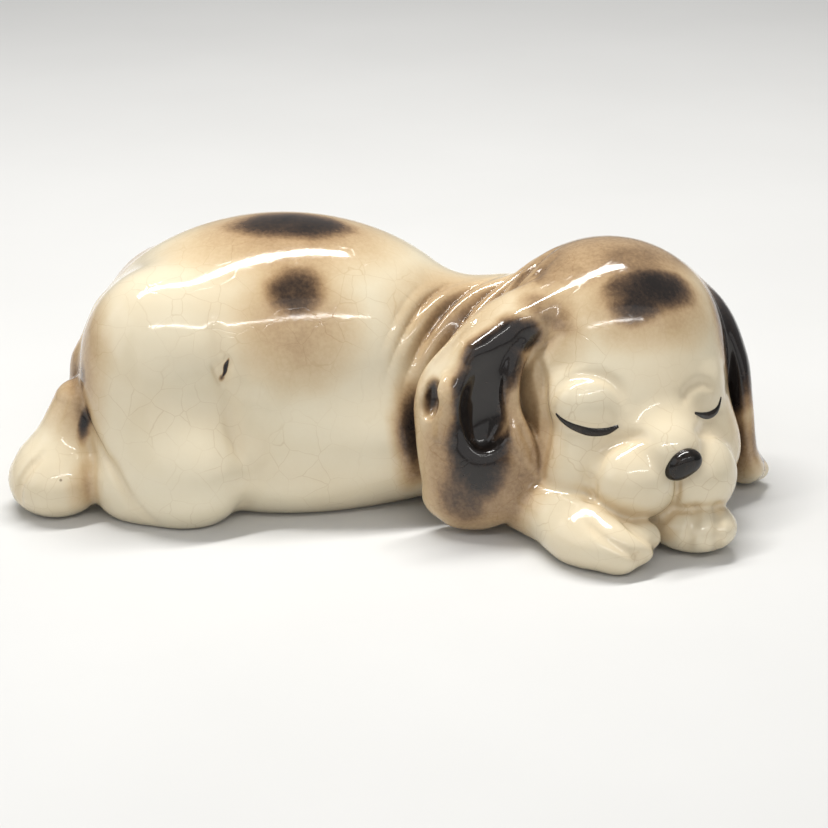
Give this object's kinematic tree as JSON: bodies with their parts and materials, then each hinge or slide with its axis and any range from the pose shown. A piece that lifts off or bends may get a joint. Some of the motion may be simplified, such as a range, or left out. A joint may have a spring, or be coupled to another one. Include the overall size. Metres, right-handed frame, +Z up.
{
  "type": "ceramic dog figurine",
  "caption": "Glazed hollow ceramic figurine of a sleeping spaniel puppy, lying on its belly with its chin on its forepaws and long ears hanging to the table.",
  "frame": {"origin": "on the table, under the middle of the figurine's bounding box", "axes": "+Z up, +X along the body towards the head end, -Y towards the dog's right flank, to which its face is turned"},
  "size_m": [0.1275, 0.0728, 0.0445],
  "materials": {
    "cream_glaze": "gloss, with fine crazing and airbrushed brown and black patches",
    "brown_glaze": "gloss, airbrushed from black to warm brown over cream",
    "black_enamel": "gloss"
  },
  "bodies": {
    "root": {"torso_casting": "cream_glaze", "head_casting": "cream_glaze", "right_ear": "brown_glaze", "left_ear": "brown_glaze", "right_foreleg": "cream_glaze", "left_foreleg": "cream_glaze", "right_hind_leg": "cream_glaze", "left_hind_leg": "cream_glaze", "right_hind_foot": "cream_glaze", "tail": "brown_glaze", "nose": "black_enamel", "right_eye_line": "black_enamel", "left_eye_line": "black_enamel"}
  },
  "joints": []
}
